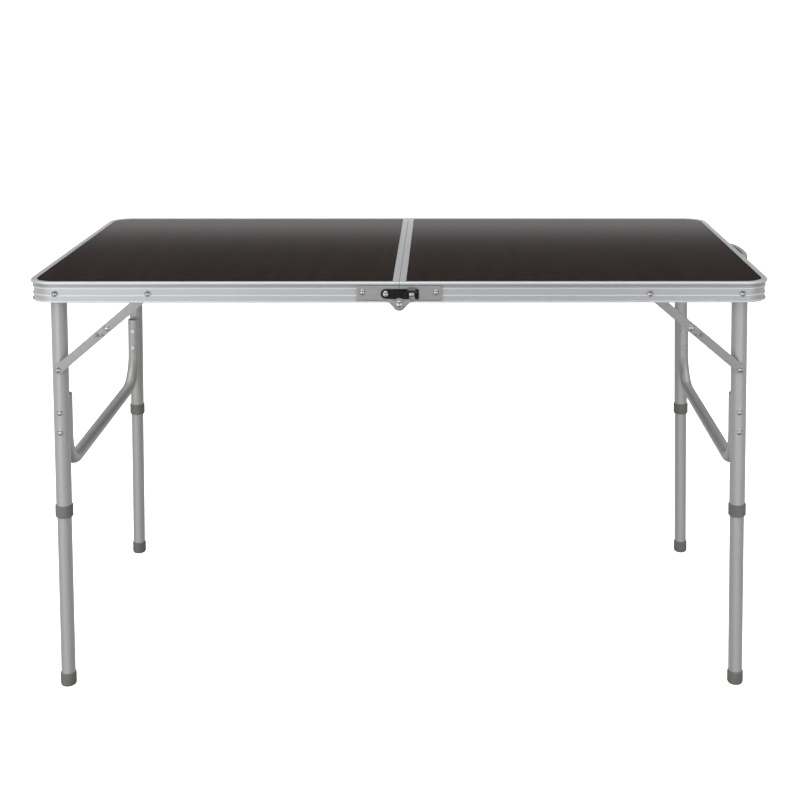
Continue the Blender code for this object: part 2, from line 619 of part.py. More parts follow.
def stay_rail_profile():
    """Head, spacer inside the rim, shank through the upper link, and a thin tail behind it."""
    spacer_top = -WEB_THICKNESS - GAP
    spacer_end = -(UPPER_LINK_INSET - GAP - WEB_INSET)
    tail = -(UPPER_LINK_INSET + SHEET + GAP - WEB_INSET)
    profile = [(0, tail - RIVET_TAIL), (0.0045, tail - RIVET_TAIL), (0.0045, tail), (PIN_RADIUS, tail)]
    profile += [(PIN_RADIUS, spacer_end), (0.0045, spacer_end), (0.0045, spacer_top), (PIN_RADIUS, spacer_top)]
    profile += [(PIN_RADIUS, PLATE_OFFSET), *dome_head(PLATE_OFFSET, RIVET_HEAD, 0.0024)]
    return profile


def stay_leg_profile():
    """Head outside the lower link, shank through link and leg, and tail on the leg's inner side."""
    head_base = -(LOWER_LINK_INSET - GAP - WEB_INSET)
    tail = -(LEG_INSET + UPPER_TUBE_RADIUS + GAP - WEB_INSET)
    profile = [(0, tail - 0.0015), (0.0046, tail - 0.0015), (0.005, tail), (PIN_RADIUS, tail)]
    profile += [(PIN_RADIUS, head_base), *dome_head(head_base, RIVET_HEAD, 0.0024)]
    return profile


def add_stays(side, half, frame, materials):
    """The folding stays of one leg frame, locked straight, with the pins at their ends."""
    name = SIDE_NAMES[side]
    pivot_z = PIVOT_HEIGHT + HINGE_DROP
    # A link hangs straight down in its own frame, so it is turned up to the slope of the stay.
    lean = -side * (math.pi / 2 - STAY_SLOPE)
    rail_joint = add_empty(f"{name}_stay_upper", half, (side * STAY_RAIL_X, 0, pivot_z), (0, lean, 0))
    leg_turn = lean + math.pi + side * LEG_SPLAY
    leg_joint = add_empty(f"{name}_stay_lower", frame, (0, 0, -STAY_LEG_DROP), (0, leg_turn, 0))
    upper = link_mesh("upper_link", UPPER_LINK_LENGTH, LINK_TAIL - LINK_WIDTH / 2)
    lower = link_mesh("lower_link", LOWER_LINK_LENGTH, 0)
    web_y = HALF_WIDTH - WEB_INSET
    meshes = {
        "leg_pivot": turned_mesh("leg_pivot", leg_pivot_profile(), PIN_SIDES),
        "stay_rail_pivot": turned_mesh("stay_rail_pivot", stay_rail_profile(), PIN_SIDES),
        "stay_leg_pivot": turned_mesh("stay_leg_pivot", stay_leg_profile(), PIN_SIDES),
    }
    for row in (-1, 1):
        leg = f"{name}_{ROW_NAMES[row]}"
        place, turn = layer_place(row, UPPER_LINK_INSET)
        add_piece(f"{leg}_stay_upper_link", upper, rail_joint, materials["sheet"], place, turn)
        place, turn = layer_place(row, LOWER_LINK_INSET)
        add_piece(f"{leg}_stay_lower_link", lower, leg_joint, materials["sheet"], place, turn)
        outward = (-row * math.pi / 2, 0, 0)
        for label, parent, place in (
            ("leg_pivot", half, (side * PIVOT_X, row * web_y, pivot_z)),
            ("stay_rail_pivot", half, (side * STAY_RAIL_X, row * web_y, pivot_z)),
            ("stay_leg_pivot", frame, (0, row * web_y, -STAY_LEG_DROP)),
        ):
            add_piece(f"{leg}_{label}", meshes[label], parent, materials["rivet"], place, outward)


def add_handle(half, materials):
    """A moulded grip that bows out of the end rail between two flat feet."""
    steps = 8
    half_bow = HANDLE_HALF_LENGTH - HANDLE_FOOT * 0.55
    outer = [(HANDLE_HALF_LENGTH, 0), (HANDLE_HALF_LENGTH, 0.0032)]
    for i in range(1, steps):
        turn = math.pi * i / steps
        outer.append((half_bow * math.cos(turn), 0.0032 + (HANDLE_REACH - 0.0032) * math.sin(turn) ** 0.7))
    outer += [(-HANDLE_HALF_LENGTH, 0.0032), (-HANDLE_HALF_LENGTH, 0)]
    gap_half = HANDLE_HALF_LENGTH - HANDLE_FOOT
    inner = [(-gap_half, 0)]
    for i in range(steps - 1, 0, -1):
        turn = math.pi * i / steps
        inner.append((gap_half * math.cos(turn) * 0.94, (HANDLE_REACH - HANDLE_BAR) * math.sin(turn) ** 0.7))
    inner.append((gap_half, 0))
    shape = bmesh.new()
    rings = []
    for z in (HANDLE_BOTTOM, HANDLE_TOP):
        rings.append([shape.verts.new((x, y, z)) for y, x in outer + inner])
    bridge_rings(shape, rings, closed=False)
    for ring in rings:
        shape.faces.new(ring)
    mesh = finish_mesh("carry_handle", shape)
    add_piece("carry_handle", mesh, half, materials["handle"], (HANDLE_BASE, 0, HINGE_DROP))


def build_table():
    clear_scene()
    materials = make_materials()
    table = add_empty("table", None, (MIDDLE_X, 0, HINGE_HEIGHT))
    halves = {side: add_empty(f"{SIDE_NAMES[side]}_half", table) for side in (-1, 1)}
    for side, half in halves.items():
        add_half_top(side, half, materials)
        frame = add_leg_frame(side, half, materials)
        add_stays(side, half, frame, materials)
    for row in (-1, 1):
        add_side_hinge(row, halves[-1], halves[1], materials)
    add_handle(halves[1], materials)


build_table()
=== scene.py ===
"""The looks of the folding picnic table: materials, small fasteners, studio light and the camera."""

import json
import math

import bmesh
import bpy
from mathutils import Matrix, Vector


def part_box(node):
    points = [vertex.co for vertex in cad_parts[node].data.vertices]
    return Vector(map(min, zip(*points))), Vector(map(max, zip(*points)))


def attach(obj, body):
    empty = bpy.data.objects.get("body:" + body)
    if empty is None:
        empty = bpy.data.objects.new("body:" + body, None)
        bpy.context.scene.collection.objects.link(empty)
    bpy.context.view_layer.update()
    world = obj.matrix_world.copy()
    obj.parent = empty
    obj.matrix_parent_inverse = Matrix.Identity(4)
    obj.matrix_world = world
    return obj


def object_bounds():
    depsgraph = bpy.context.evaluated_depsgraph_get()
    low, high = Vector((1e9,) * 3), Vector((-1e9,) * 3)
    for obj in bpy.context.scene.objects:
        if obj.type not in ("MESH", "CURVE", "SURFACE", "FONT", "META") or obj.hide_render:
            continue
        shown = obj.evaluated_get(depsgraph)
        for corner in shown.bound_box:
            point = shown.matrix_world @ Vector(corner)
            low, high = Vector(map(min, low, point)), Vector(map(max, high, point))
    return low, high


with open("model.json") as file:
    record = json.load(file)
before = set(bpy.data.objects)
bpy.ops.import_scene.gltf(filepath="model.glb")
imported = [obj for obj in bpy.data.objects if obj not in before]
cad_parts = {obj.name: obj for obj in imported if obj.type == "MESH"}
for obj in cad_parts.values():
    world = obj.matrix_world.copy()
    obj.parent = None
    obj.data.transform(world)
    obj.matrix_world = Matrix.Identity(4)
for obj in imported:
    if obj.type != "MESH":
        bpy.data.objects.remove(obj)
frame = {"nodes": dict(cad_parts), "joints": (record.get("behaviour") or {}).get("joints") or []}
cad_low, cad_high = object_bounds()

SIDES = {"left": -1, "right": 1}
ROWS = {"front": -1, "rear": 1}
RIM_LOW, RIM_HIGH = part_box("left_rim")
MIDDLE = (RIM_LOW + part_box("right_rim")[1]) / 2
FLOOR_MIDDLE = Vector((MIDDLE.x, MIDDLE.y, cad_low.z))
JOINTS = {joint["name"]: joint for joint in frame["joints"]}

# Camera, placed from the table's middle at floor level
CAMERA_PLACE = Vector((0.0711, -2.3810, 1.1862))
CAMERA_YAW = math.radians(-0.406)
CAMERA_PITCH = math.radians(11.551)
CAMERA_ROLL = math.radians(0.068)
CAMERA_LENS = 59.97
CAMERA_SHIFT = (-0.066, -0.182)

# Small pieces
ROUND_STEPS = 32
RIVET_RADIUS = 0.0048
RIVET_HEIGHT = 0.0024
PLATE_RIVET_INSET = 0.009  # from a hinge plate's end
PLATE_RIVET_RISE = 0.0136  # above the bead that the plate stands on
PLATE_FACE_INSET = 0.0008  # how far a hinge plate's outer face is inside the table's outline
BEAD_TOP = 0.0041  # the top of a rail's lowest bead
CROSS_RIVET_DROPS = (0.2036, 0.2379)  # down a leg from its pivot
CROSS_RIVET_HEIGHT = 0.0021  # low enough for a folded stay to pass over
CROSSBAR_WIDTH = 0.022
STAY_HOLE = (0.0130, 0.0036)  # along a stay from its middle rivet, and towards its lower edge
STAY_BUMP = (0.0210, -0.0012)
TAB_WIDTH = 0.012
SCREW_INSET = 0.0048  # from the handle's end
HANDLE_FOOT = 0.0032  # how thick the handle's feet are

# A rail's brightness by height, from its bottom to its lip, multiplied into its colour: painted highlights
# on the bottom bead, the ribs, the top bead's face and the lip, the webs between left darker, and a painted
# shadow under the top bead at the darkest band
RIM_PAINTED_LIGHT_BANDS = [
    (0.0, 1.0), (0.10, 1.0), (0.12, 0.66), (0.28, 0.70), (0.295, 1.0), (0.375, 1.0), (0.39, 0.66),
    (0.62, 0.72), (0.635, 1.0), (0.725, 1.0), (0.74, 0.62), (0.85, 0.45), (0.875, 0.80),
    (0.96, 0.90), (0.985, 1.0),
]

# Studio
FLOOR_GLOW = 0.92
FLOOR_REACH = 60.0
FLOOR_TURNS = ((-1, -1), (1, -1), (1, 1), (-1, 1))
WORLD_STRENGTH = 1.9
# Brightness by direction, each from 0 at one end of an axis to 1 at the other: up in front of the
# table, up behind it, left to right, and front to back.
WORLD_FRONT = [(0.0, 0.10), (0.17, 0.12), (0.25, 0.50), (0.32, 0.34), (0.39, 1.0), (0.46, 0.80),
               (0.53, 0.32), (0.62, 0.09), (0.73, 0.15), (0.80, 0.75), (1.0, 0.95)]
WORLD_BACK = [(0.0, 0.05), (0.20, 0.26), (0.40, 0.34), (0.50, 0.16), (0.56, 0.04), (0.60, 0.0), (0.72, 0.0),
              (0.85, 0.40), (1.0, 0.95)]
WORLD_ACROSS = [(0.0, 0.20), (0.15, 0.50), (0.28, 1.0), (0.355, 1.0), (0.40, 0.75), (0.47, 0.70),
                (0.51, 0.30), (0.59, 0.28), (0.61, 0.80), (0.66, 0.80), (0.85, 0.40), (1.0, 0.15)]
WORLD_DEPTH = [(0.40, 0.0), (0.65, 1.0)]
# Each softbox: name, place and target from the table's middle, size, power, seen in reflections
SOFTBOXES = [
    ("top_softbox", (0, -0.3, 3.2), (0, 0, 0.715), (3.4, 2.6), 18, True),
    ("left_softbox", (-2.4, -2.4, 1.7), (0, 0, 0.4), (1.6, 2.2), 36, False),
    ("right_softbox", (2.8, -2.2, 1.5), (0, 0, 0.4), (1.2, 2.0), 16, False),
    ("left_fill", (-1.0, -1.3, 0.8), (-0.6, -0.3, 0.62), (0.5, 0.5), 5.5, False),
    ("right_fill", (1.1, -1.3, 0.8), (0.62, -0.3, 0.62), (0.5, 0.5), 4.0, False),
    ("back_card", (0, 0.47, 0.74), (0, 0, 0.735), (1.8, 0.08), 0.19, True),
]


# --- Shader helpers -----------------------------------------------------------------------------


def new_material(name, colour, roughness, metallic=0.0):
    """A material with its Principled shader, as (material, shader)."""
    material = bpy.data.materials.new(name)
    material.use_nodes = True
    shader = material.node_tree.nodes["Principled BSDF"]
    shader.inputs["Base Color"].default_value = (*colour, 1.0)
    shader.inputs["Roughness"].default_value = roughness
    shader.inputs["Metallic"].default_value = metallic
    return material, shader


def add_node(material, kind, **values):
    """A node whose named inputs, or properties, have these values."""
    node = material.node_tree.nodes.new(kind)
    for key, value in values.items():
        label = key.replace("_", " ")
        if label in node.inputs:
            node.inputs[label].default_value = value
        else:
            setattr(node, key, value)
    return node


def connect(material, output, target):
    material.node_tree.links.new(output, target)


def object_coordinates(material, stretch=(1, 1, 1)):
    """Coordinates that travel with the piece, stretched along each axis."""
    place = add_node(material, "ShaderNodeTexCoord")
    mapping = add_node(material, "ShaderNodeMapping", Scale=stretch)
    connect(material, place.outputs["Object"], mapping.inputs["Vector"])
    return mapping.outputs["Vector"]


def noise(material, stretch, scale, detail=3.0, roughness=0.55, distortion=0.0):
    texture = add_node(material, "ShaderNodeTexNoise", Scale=scale, Detail=detail, Roughness=roughness)
    texture.inputs["Distortion"].default_value = distortion
    connect(material, object_coordinates(material, stretch), texture.inputs["Vector"])
    return texture.outputs["Fac"]


def ramp(material, factor, stops):
    """A colour ramp from (position, colour) stops; a colour may be one grey value."""
    node = add_node(material, "ShaderNodeValToRGB")
    elements = node.color_ramp.elements
    while len(elements) < len(stops):
        elements.new(0.5)
    for element, (position, colour) in zip(elements, stops):
        element.position = position
        element.color = (colour, colour, colour, 1) if isinstance(colour, float) else (*colour, 1)
    connect(material, factor, node.inputs["Fac"])
    return node.outputs["Color"]


def mix_colours(material, factor, first, second, blend="MIX"):
    node = add_node(material, "ShaderNodeMix", data_type="RGBA", blend_type=blend)
    sockets = (node.inputs["Factor"], node.inputs[6], node.inputs[7])
    for socket, value in zip(sockets, (factor, first, second)):
        if isinstance(value, bpy.types.NodeSocket):
            connect(material, value, socket)
        elif isinstance(value, tuple):
            socket.default_value = (*value, 1)
        else:
            socket.default_value = value
    return node.outputs[2]


def math_node(material, operation, first, second=0.0):
    node = add_node(material, "ShaderNodeMath", operation=operation)
    for socket, value in zip(node.inputs, (first, second)):
        if isinstance(value, bpy.types.NodeSocket):
            connect(material, value, socket)
        else:
            socket.default_value = value
    return node.outputs["Value"]


def bump(material, shader, height, strength, distance):
    node = add_node(material, "ShaderNodeBump", Strength=strength, Distance=distance)
    connect(material, height, node.inputs["Height"])
    connect(material, node.outputs["Normal"], shader.inputs["Normal"])
    return node


def normal_part(material, axis):
    """How far the surface faces along one axis, from 0 to 1, as seen by the object itself."""
    place = add_node(material, "ShaderNodeTexCoord")
    split = add_node(material, "ShaderNodeSeparateXYZ")
    connect(material, place.outputs["Normal"], split.inputs["Vector"])
    return math_node(material, "ABSOLUTE", split.outputs[axis])


def scratches(material, stretch, scale):
    """Sparse fine scuffs as a 0 to 1 mask."""
    fine = noise(material, stretch, scale, detail=2.0, roughness=0.7)
    return ramp(material, fine, [(0.62, 0.0), (0.72, 1.0)])


# --- Materials ----------------------------------------------------------------------------------


def rim_material(name, with_painted_light_bands):
    """Satin anodised extrusion: drawing lines run along the rail; with the bands on, painted highlights on
    its beads and ribs and a painted shadow under its top bead are multiplied into its colour.
    """
    material, shader = new_material(name, (0.68, 0.69, 0.70), 0.3, 0.4)
    across = normal_part(material, "X")
    along_x = noise(material, (0.3, 90, 90), 30, detail=3)
    along_y = noise(material, (90, 0.3, 90), 30, detail=3)
    lines = mix_colours(material, ramp(material, across, [(0.5, 0.0), (0.9, 1.0)]), along_x, along_y)
    clouds = noise(material, (1, 1, 1), 9, detail=3)
    tone = ramp(material, lines, [(0.3, (0.68, 0.69, 0.70)), (0.7, (0.71, 0.72, 0.73))])
    tint = ramp(material, clouds, [(0.3, (0.97, 0.972, 0.978)), (0.7, (1.0, 1.0, 0.998))])
    colour = mix_colours(material, 1.0, tone, tint, "MULTIPLY")
    # Painted light by height: highlights on the beads, ribs and lip, and a shadow under the top bead,
    # multiplied into the colour
    if with_painted_light_bands:
        place = add_node(material, "ShaderNodeTexCoord")
        split = add_node(material, "ShaderNodeSeparateXYZ")
        connect(material, place.outputs["Generated"], split.inputs["Vector"])
        bands = ramp(material, split.outputs["Z"], RIM_PAINTED_LIGHT_BANDS)
        colour = mix_colours(material, 1.0, colour, bands, "MULTIPLY")
    connect(material, colour, shader.inputs["Base Color"])
    connect(material, ramp(material, lines, [(0.2, 0.27), (0.8, 0.31)]), shader.inputs["Roughness"])
    bump(material, shader, lines, 0.01, 0.0001)
    return material


def tube_material():
    """Silver-grey satin tube with faint draw lines down its length and a metallic fleck."""
    material, shader = new_material("tube_satin_grey", (0.40, 0.41, 0.40), 0.52, 0.6)
    draw = noise(material, (70, 70, 0.5), 14, detail=3)
    fleck = noise(material, (1, 1, 1), 900, detail=1)
    clouds = noise(material, (1, 1, 0.4), 11, detail=3)
    tone = ramp(material, draw, [(0.3, (0.545, 0.56, 0.545)), (0.7, (0.585, 0.60, 0.585))])
    tint = ramp(material, clouds, [(0.3, (0.94, 0.95, 0.94)), (0.7, (1.0, 1.0, 1.0))])
    colour = mix_colours(material, 1.0, tone, tint, "MULTIPLY")
    bright = ramp(material, fleck, [(0.60, 0.0), (0.75, 0.35)])
    connect(material, mix_colours(material, bright, colour, (0.67, 0.68, 0.67)), shader.inputs["Base Color"])
    connect(material, ramp(material, clouds, [(0.25, 0.48), (0.75, 0.56)]), shader.inputs["Roughness"])
    bump(material, shader, fleck, 0.05, 0.0002)
    return material


def crossbar_material():
    """The same finish as the legs, with its draw lines running across the table."""
    material, shader = new_material("crossbar_satin_grey", (0.40, 0.41, 0.40), 0.52, 0.6)
    draw = noise(material, (70, 0.5, 70), 14, detail=3)
    fleck = noise(material, (1, 1, 1), 900, detail=1)
    tone = ramp(material, draw, [(0.3, (0.545, 0.56, 0.545)), (0.7, (0.585, 0.60, 0.585))])
    bright = ramp(material, fleck, [(0.60, 0.0), (0.75, 0.35)])
    connect(material, mix_colours(material, bright, tone, (0.67, 0.68, 0.67)), shader.inputs["Base Color"])
    connect(material, ramp(material, draw, [(0.25, 0.48), (0.75, 0.56)]), shader.inputs["Roughness"])
    bump(material, shader, fleck, 0.05, 0.0002)
    return material


def sheet_material():
    """Zinc-plated pressed sheet: a soft spangle, fine roll lines and light scuffs."""
    material, shader = new_material("zinc_plated_sheet", (0.52, 0.53, 0.53), 0.36, 0.85)
    roll = noise(material, (6, 6, 90), 16, detail=3)
    spangle = add_node(material, "ShaderNodeTexVoronoi", Scale=220.0)
    connect(material, object_coordinates(material), spangle.inputs["Vector"])
    patch = ramp(material, spangle.outputs["Color"], [(0.0, (0.43, 0.44, 0.43)), (1.0, (0.48, 0.49, 0.48))])
    shade = ramp(material, roll, [(0.3, (0.9, 0.9, 0.9)), (0.7, (1.0, 1.0, 1.0))])
    colour = mix_colours(material, 1.0, patch, shade, "MULTIPLY")
    scuff = scratches(material, (1, 1, 6), 90)
    connect(material, mix_colours(material, scuff, colour, (0.55, 0.56, 0.56)), shader.inputs["Base Color"])
    connect(material, ramp(material, roll, [(0.2, 0.30), (0.8, 0.44)]), shader.inputs["Roughness"])
    bump(material, shader, roll, 0.06, 0.0002)
    return material


def rivet_material():
    """Bright nickel-plated rivet with a trace of tool marks."""
    material, shader = new_material("bright_nickel", (0.62, 0.62, 0.64), 0.16, 0.9)
    marks = noise(material, (1, 1, 1), 420, detail=2)
    connect(material, ramp(material, marks, [(0.3, (0.62, 0.62, 0.64)), (0.7, (0.70, 0.70, 0.72))]),
            shader.inputs["Base Color"])
    connect(material, ramp(material, marks, [(0.3, 0.12), (0.7, 0.20)]), shader.inputs["Roughness"])
    bump(material, shader, marks, 0.08, 0.0003)
    return material


def hook_material():
    """Black oxide steel whose coating is a little thin along its edges."""
    material, shader = new_material("black_oxide_steel", (0.006, 0.005, 0.005), 0.34)
    mottle = noise(material, (1, 1, 1), 240, detail=3)
    place = add_node(material, "ShaderNodeNewGeometry")
    edge = ramp(material, place.outputs["Pointiness"], [(0.52, 0.0), (0.60, 1.0)])
    worn = math_node(material, "MULTIPLY", edge, mottle)
    black = ramp(material, mottle, [(0.3, (0.004, 0.0035, 0.003)), (0.7, (0.009, 0.008, 0.007))])
    connect(material, mix_colours(material, worn, black, (0.10, 0.10, 0.10)), shader.inputs["Base Color"])
    shader.inputs["Specular IOR Level"].default_value = 0.12
    connect(material, ramp(material, mottle, [(0.3, 0.30), (0.7, 0.45)]), shader.inputs["Roughness"])
    bump(material, shader, mottle, 0.08, 0.0003)
    return material


def board_material():
    """Dark wenge laminate, its grain running across the table, on a bare brown hardboard back."""
    material, shader = new_material("dark_wood_laminate", (0.03, 0.02, 0.018), 0.35)
    bands = noise(material, (26, 0.9, 1), 3.2, detail=5, roughness=0.6, distortion=0.25)
    grain = noise(material, (150, 2.2, 1), 5.0, detail=5, roughness=0.65)
    pores = noise(material, (420, 9, 1), 4.0, detail=2, roughness=0.5)
    base = ramp(material, bands, [(0.30, (0.0195, 0.0115, 0.0100)), (0.50, (0.0245, 0.0150, 0.0132)),
                                  (0.72, (0.0310, 0.0200, 0.0178))])
    streak = ramp(material, grain, [(0.30, (0.76, 0.75, 0.75)), (0.55, (0.94, 0.94, 0.94)),
                                    (0.75, (1.0, 0.99, 0.98))])
    wood = mix_colours(material, 1.0, base, streak, "MULTIPLY")
    pore = ramp(material, pores, [(0.60, 0.0), (0.70, 1.0)])
    face = mix_colours(material, math_node(material, "MULTIPLY", pore, 0.3), wood, (0.006, 0.004, 0.004))
    fibre = noise(material, (1, 1, 1), 160, detail=4)
    back = ramp(material, fibre, [(0.3, (0.17, 0.105, 0.06)), (0.7, (0.25, 0.165, 0.10))])
    place = add_node(material, "ShaderNodeTexCoord")
    split = add_node(material, "ShaderNodeSeparateXYZ")
    connect(material, place.outputs["Normal"], split.inputs["Vector"])
    upward = math_node(material, "GREATER_THAN", split.outputs["Z"], -0.5)
    connect(material, mix_colours(material, upward, back, face), shader.inputs["Base Color"])
    gloss = ramp(material, grain, [(0.25, 0.19), (0.75, 0.22)])
    rough_back = math_node(material, "SUBTRACT", 1.0, upward)
    rough_back = math_node(material, "MULTIPLY", rough_back, 0.8)
    connect(material, math_node(material, "MAXIMUM", gloss, rough_back), shader.inputs["Roughness"])
    height = math_node(material, "SUBTRACT", grain, math_node(material, "MULTIPLY", pore, 0.6))
    bump(material, shader, height, 0.02, 0.0001)
    return material


def plastic_material(name, dark, light, roughness):
    """Moulded plastic with a fine spark-eroded grain and slight flow clouds."""
    material, shader = new_material(name, light, roughness)
    grain = noise(material, (1, 1, 1), 750, detail=2)
    clouds = noise(material, (1, 1, 1), 40, detail=3)
    connect(material, ramp(material, clouds, [(0.3, dark), (0.7, light)]), shader.inputs["Base Color"])
    rough = ramp(material, grain, [(0.3, roughness - 0.06), (0.7, roughness + 0.08)])
    connect(material, rough, shader.inputs["Roughness"])
    bump(material, shader, grain, 0.18, 0.0003)
    return material


# --- Pieces -------------------------------------------------------------------------------------


def turned_piece(name, profile, place, direction, material, body):
    """A round piece turned from (radius, height) points about an axis through place."""
    shape = bmesh.new()
    rings = []
    for radius, height in profile:
        if radius == 0:
            rings.append([shape.verts.new((0, 0, height))])
            continue
        turns = [math.tau * i / ROUND_STEPS for i in range(ROUND_STEPS)]
        rings.append([shape.verts.new((radius * math.cos(t), radius * math.sin(t), height)) for t in turns])
    for first, second in zip(rings, rings[1:]):
        for i in range(ROUND_STEPS):
            j = (i + 1) % ROUND_STEPS
            corners = [first[i % len(first)], first[j % len(first)]]
            corners += [second[j % len(second)], second[i % len(second)]]
            shape.faces.new(list(dict.fromkeys(corners)))
    bmesh.ops.recalc_face_normals(shape, faces=shape.faces)
    mesh = bpy.data.meshes.new(name)
    shape.to_mesh(mesh)
    shape.free()
    mesh.shade_smooth()
    mesh.set_sharp_from_angle(angle=math.radians(40))
    piece = bpy.data.objects.new(name, mesh)
    bpy.context.scene.collection.objects.link(piece)
    mesh.materials.append(material)
    piece.rotation_mode = "QUATERNION"
    piece.rotation_quaternion = Vector((0, 0, 1)).rotation_difference(Vector(direction))
    piece.location = place
    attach(piece, body)
    return piece


def dome_profile(radius, height, foot=0.0003, sunk=0.0003, steps=7):
    """A rivet head with a small straight foot under its crown, sunk a little into what it is set in."""
    points = [(0, -sunk), (radius, -sunk), (radius, foot)]
    for i in range(1, steps):
        turn = math.pi / 2 * i / steps
        points.append((radius * math.cos(turn), foot + (height - foot) * math.sin(turn)))
    return points + [(0, height)]


def tail_profile(radius, height):
    """A set rivet tail: a low ring with a dimple where the mandrel or punch went in."""
    return [(0, -0.0006), (radius, -0.0006), (radius, height * 0.5), (radius * 0.86, height),
            (radius * 0.5, height), (radius * 0.36, height * 0.35), (0, height * 0.25)]


def add_plate_rivets(material):
    """One rivet at each hinge plate's outer end."""
    for row_name, row in ROWS.items():
        edge = RIM_LOW.y if row < 0 else RIM_HIGH.y
        for side_name, side in SIDES.items():
            low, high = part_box(f"{row_name}_{side_name}_hinge_plate")
            end_x = high.x if side > 0 else low.x
            place = (end_x - side * PLATE_RIVET_INSET, edge - row * PLATE_FACE_INSET,
                     RIM_LOW.z + BEAD_TOP + PLATE_RIVET_RISE)
            turned_piece(f"{row_name}_{side_name}_plate_rivet", dome_profile(RIVET_RADIUS, RIVET_HEIGHT),
                         place, (0, row, 0), material, f"{side_name}_half")


def leg_direction(side):
    """Down a leg, which leans outwards."""
    axis = Vector(JOINTS[f"{'left' if side < 0 else 'right'}_front_leg_slide"]["axis"])
    return -axis.normalized()


def add_cross_rivets(material):
    """Two rivets through each end of each cross-tube, seen as heads outside and tails inside."""
    for side_name, side in SIDES.items():
        pivot = Vector(JOINTS[f"{side_name}_leg_fold"]["pos_m"])
        down = leg_direction(side)
        bar_low, bar_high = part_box(f"{side_name}_crossbar")
        for row_name, row in ROWS.items():
            tube_low, tube_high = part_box(f"{side_name}_{row_name}_upper_tube")
            tube_y = tube_low.y if row < 0 else tube_high.y
            bar_y = bar_low.y + CROSSBAR_WIDTH if row < 0 else bar_high.y - CROSSBAR_WIDTH
            for number, drop in enumerate(CROSS_RIVET_DROPS, 1):
                place = pivot + down * drop
                label = f"{side_name}_{row_name}_cross_rivet_{number}"
                turned_piece(label, dome_profile(RIVET_RADIUS, CROSS_RIVET_HEIGHT, sunk=0.0010),
                             (place.x, tube_y, place.z), (0, row, 0), material, f"{side_name}_leg_frame")
                tail = Vector((place.x, bar_y + row * 0.0009, place.z))
                turned_piece(f"{label}_tail", tail_profile(0.0042, 0.0016),
                             tail, (0, -row, 0), material, f"{side_name}_leg_frame")


def stay_points(side_name):
    """The rail pivot, middle rivet and leg pivot of a stay, in the XZ plane."""
    rail = Vector(JOINTS[f"{side_name}_stay_upper_fold"]["pos_m"])
    leg = Vector(JOINTS[f"{side_name}_stay_lower_fold"]["pos_m"])
    pivot = Vector(JOINTS[f"{side_name}_leg_fold"]["pos_m"])
    span = (leg - rail).length
    folded = abs(pivot.x - rail.x) - (leg - pivot).length
    middle = rail + (leg - rail).normalized() * (span - folded) / 2
    return rail, middle, leg


def add_stay_rivets(material, sheet, dark):
    """The middle rivet of each stay, with its washer and flush tail, and past it the lock bump and a thin
    black disc that paints the shade inside the hole.
    """
    for side_name, side in SIDES.items():
        rail, middle, leg = stay_points(side_name)
        along = (leg - rail).normalized()
        downward = Vector((side * along.z, 0, -side * along.x))
        hole_place = middle + along * STAY_HOLE[0] + downward * STAY_HOLE[1]
        bump_place = middle + along * STAY_BUMP[0] + downward * STAY_BUMP[1]
        for row_name, row in ROWS.items():
            upper_low, upper_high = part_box(f"{side_name}_{row_name}_stay_upper_link")
            lower_low, lower_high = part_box(f"{side_name}_{row_name}_stay_lower_link")
            outer_y = upper_low.y if row < 0 else upper_high.y
            inner_y = upper_high.y if row < 0 else upper_low.y
            back_y = lower_high.y if row < 0 else lower_low.y
            label = f"{side_name}_{row_name}_stay"
            upper_body, lower_body = f"{side_name}_stay_upper", f"{side_name}_stay_lower"
            head = Vector((middle.x, outer_y, middle.z))
            turned_piece(f"{label}_rivet", dome_profile(RIVET_RADIUS, 0.0018), head, (0, row, 0),
                         material, upper_body)
            washer = [(0, 0.0001), (0.0055, 0.0001), (0.0055, 0.0011), (0, 0.0011)]
            turned_piece(f"{label}_washer", washer, (middle.x, inner_y, middle.z), (0, -row, 0),
                         material, upper_body)
            flush = [(0, -0.0002), (0.0042, -0.0002), (0.0042, 0.0001), (0.0038, 0.0002), (0, 0.0002)]
            turned_piece(f"{label}_rivet_tail", flush, (middle.x, back_y, middle.z), (0, -row, 0),
                         material, lower_body)
            # A thin black disc on the link's outer face: painted shade standing in for the inside of the
            # hole
            turned_piece(f"{label}_hole_painted_shade", [(0, -0.0002), (0.0013, -0.0002), (0.0013, 0.0001), (0, 0.0001)],
                         (hole_place.x, outer_y, hole_place.z), (0, row, 0), dark, upper_body)
            turned_piece(f"{label}_lock_bump", dome_profile(0.0024, 0.0011, foot=0.0001),
                         (bump_place.x, outer_y, bump_place.z), (0, row, 0),
                         sheet, upper_body)


def add_hinge_washers(material):
    """A bright washer between each hinge pin's head and the ear that it goes through."""
    for row_name, row in ROWS.items():
        low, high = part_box(f"{row_name}_hinge_pin")
        plates = [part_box(f"{row_name}_{side_name}_hinge_plate") for side_name in SIDES]
        face_y = min(box[0].y for box in plates) if row < 0 else max(box[1].y for box in plates)
        middle = (low + high) / 2
        washer = [(0, -0.0002), (0.0103, -0.0002), (0.0103, 0.0005), (0.0098, 0.0008), (0.0074, 0.0008),
                  (0.0070, 0.0004), (0, 0.0004)]
        turned_piece(f"{row_name}_hinge_washer", washer, (middle.x, face_y, middle.z), (0, row, 0),
                     material, "left_half")


